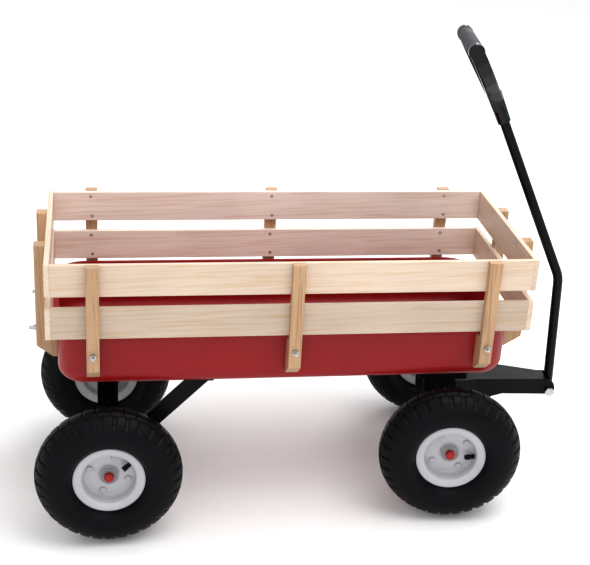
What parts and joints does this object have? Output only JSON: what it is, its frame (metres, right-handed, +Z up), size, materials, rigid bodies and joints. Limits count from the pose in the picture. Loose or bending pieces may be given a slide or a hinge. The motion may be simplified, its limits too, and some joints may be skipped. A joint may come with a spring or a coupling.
{
  "type": "wagon with pull handle",
  "caption": "Four-wheel wagon with a shallow steel tray, slatted wooden rails, pneumatic tyres and a bent pull handle on a steering front axle.",
  "frame": {"origin": "on the ground under the middle of the bounding box", "axes": "+X to the handle end, +Y to the wagon's left side, +Z up"},
  "size_m": [0.9987, 0.478, 0.8576],
  "materials": {
    "tray_red": "gloss red enamel on pressed steel",
    "pine": "clear-finished softwood",
    "pine_stake": "clear-finished softwood",
    "black_steel": "black powder coat",
    "zinc": "bright zinc plate",
    "tyre": "black rubber",
    "tube": "black butyl rubber",
    "rim_white": "white powder coat",
    "bush": "dark moulded nylon",
    "cap_red": "red plastic",
    "grip_black": "gloss black plastic",
    "sleeve_grey": "grey soft-touch sleeve"
  },
  "bodies": {
    "wagon": {"chassis_bolts": "zinc", "kingpin": "zinc", "rear_axle": "zinc", "rear_axle_bracket": "black_steel", "rear_brace_far": "black_steel", "rear_brace_near": "black_steel", "rear_hub_bushes": "bush", "rear_hub_caps": "cap_red", "slat_far_lower": "pine", "slat_far_upper": "pine", "slat_front_lower": "pine", "slat_front_upper": "pine", "slat_near_lower": "pine", "slat_near_upper": "pine", "slat_rear_lower": "pine", "slat_rear_upper": "pine", "slat_screws": "zinc", "stake_bolts": "zinc", "stake_far_front": "pine_stake", "stake_far_mid": "pine_stake", "stake_far_rear": "pine_stake", "stake_front_end_far": "pine_stake", "stake_front_end_near": "pine_stake", "stake_near_front": "pine_stake", "stake_near_mid": "pine_stake", "stake_near_rear": "pine_stake", "stake_nuts": "zinc", "stake_rear_end_far": "pine_stake", "stake_rear_end_near": "pine_stake", "tray": "tray_red", "turntable": "black_steel"},
    "steering": {"steering_bracket": "black_steel", "tongue": "black_steel", "handle_pivot_bolt": "zinc", "front_axle": "zinc", "front_hub_bushes": "bush", "front_hub_caps": "cap_red"},
    "handle": {"handle_shaft": "black_steel", "grip_body": "grip_black", "grip_sleeve": "sleeve_grey"},
    "wheel_rear_near": {"tyre_rear_near": "tyre", "tube_rear_near": "tube", "rim_outer_rear_near": "rim_white", "rim_inner_rear_near": "rim_white", "rim_bolts_rear_near": "rim_white"},
    "wheel_rear_far": {"tyre_rear_far": "tyre", "tube_rear_far": "tube", "rim_outer_rear_far": "rim_white", "rim_inner_rear_far": "rim_white", "rim_bolts_rear_far": "rim_white"},
    "wheel_front_near": {"tyre_front_near": "tyre", "tube_front_near": "tube", "rim_outer_front_near": "rim_white", "rim_inner_front_near": "rim_white", "rim_bolts_front_near": "rim_white"},
    "wheel_front_far": {"tyre_front_far": "tyre", "tube_front_far": "tube", "rim_outer_front_far": "rim_white", "rim_inner_front_far": "rim_white", "rim_bolts_front_far": "rim_white"}
  },
  "joints": [
    {"name": "steer", "type": "hinge", "parent": "wagon", "child": "steering", "pos_m": [0.2719, 0, 0.243], "axis": [0, 0, 1], "range_deg": [-28, 42]},
    {"name": "handle_swing", "type": "hinge", "parent": "steering", "child": "handle", "pos_m": [0.48689, -0.0264, 0.162], "axis": [0.1219, 0.9925, 0], "range_deg": [0, 110]},
    {"name": "spin_rear_near", "type": "hinge", "parent": "wagon", "child": "wheel_rear_near", "pos_m": [-0.3696, -0.189, 0.13], "axis": [0, 1, 0], "continuous": true},
    {"name": "spin_rear_far", "type": "hinge", "parent": "wagon", "child": "wheel_rear_far", "pos_m": [-0.3696, 0.189, 0.13], "axis": [0, 1, 0], "continuous": true},
    {"name": "spin_front_near", "type": "hinge", "parent": "steering", "child": "wheel_front_near", "pos_m": [0.24887, -0.18759, 0.13], "axis": [0.1219, 0.9925, 0], "continuous": true},
    {"name": "spin_front_far", "type": "hinge", "parent": "steering", "child": "wheel_front_far", "pos_m": [0.29493, 0.18759, 0.13], "axis": [0.1219, 0.9925, 0], "continuous": true}
  ]
}
